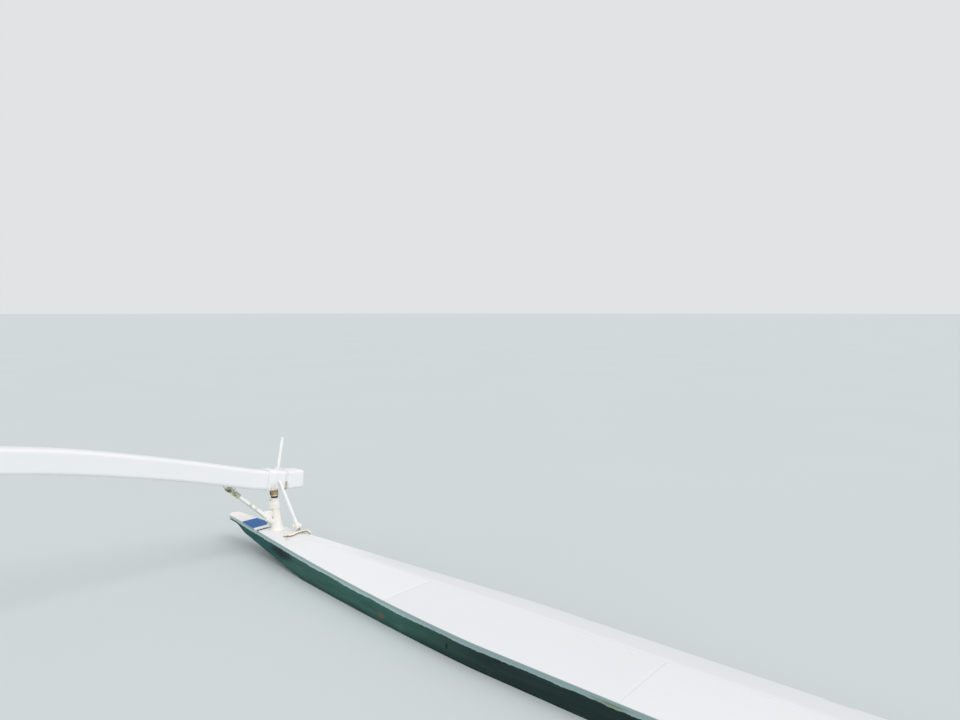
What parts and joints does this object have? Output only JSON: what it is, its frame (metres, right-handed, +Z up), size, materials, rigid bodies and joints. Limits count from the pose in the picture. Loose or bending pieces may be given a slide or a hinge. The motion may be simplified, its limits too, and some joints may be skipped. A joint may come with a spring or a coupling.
{
  "type": "outrigger of a canoe, float with two booms",
  "caption": "Decked timber float with pointed ends, held out from a canoe by arched booms on posts, braces, pegs and rope lashings.",
  "frame": {"origin": "on the water's surface, midway between the float's tips, in the float's middle plane", "axes": "+X forward along the float, +Y outboard away from the canoe's hull, +Z up"},
  "size_m": [6.34, 2.724, 0.927],
  "materials": {
    "deck_enamel": "brushed white enamel over plywood, chalky with faint streaks",
    "boom_enamel": "white enamel over a laminated timber beam",
    "post_enamel": "white enamel over timber, yellowed and stained",
    "bottom_paint": "dark green bottom paint, with a white hand-painted strip under the deck",
    "rope": "laid rope, tan and weathered",
    "painted_rope": "rope painted over in white, yellowed in the hollows",
    "tape": "black tape"
  },
  "bodies": {
    "root": {"back_peg_aft": "post_enamel", "back_peg_fore": "post_enamel", "back_peg_knot_aft": "painted_rope", "back_peg_knot_fore": "painted_rope", "boom_aft": "boom_enamel", "boom_fore": "boom_enamel", "bottom_planking": "bottom_paint", "brace_aft": "post_enamel", "brace_foot_knot_aft": "painted_rope", "brace_foot_knot_fore": "painted_rope", "brace_fore": "post_enamel", "brace_head_lashing_aft": "rope", "brace_head_lashing_fore": "rope", "deck_panel_1": "deck_enamel", "deck_panel_2": "deck_enamel", "deck_panel_3": "deck_enamel", "deck_panel_4": "deck_enamel", "deck_panel_5": "deck_enamel", "deck_rope_aft": "rope", "deck_rope_fore": "rope", "front_peg_aft": "post_enamel", "front_peg_fore": "post_enamel", "front_peg_knot_aft": "painted_rope", "front_peg_knot_fore": "painted_rope", "hull_body": "bottom_paint", "inner_boom_lashing_aft": "painted_rope", "inner_boom_lashing_fore": "painted_rope", "nose_block_aft": "bottom_paint", "nose_block_fore": "bottom_paint", "nose_deck_aft": "deck_enamel", "nose_deck_fore": "deck_enamel", "outboard_deck_board": "deck_enamel", "outer_boom_lashing_aft": "rope", "outer_boom_lashing_fore": "rope", "post_aft": "post_enamel", "post_binding_aft": "painted_rope", "post_binding_fore": "painted_rope", "post_fore": "post_enamel", "post_head_lashing_aft": "rope", "post_head_lashing_fore": "rope", "post_tape_aft": "tape", "post_tape_fore": "tape"}
  },
  "joints": []
}
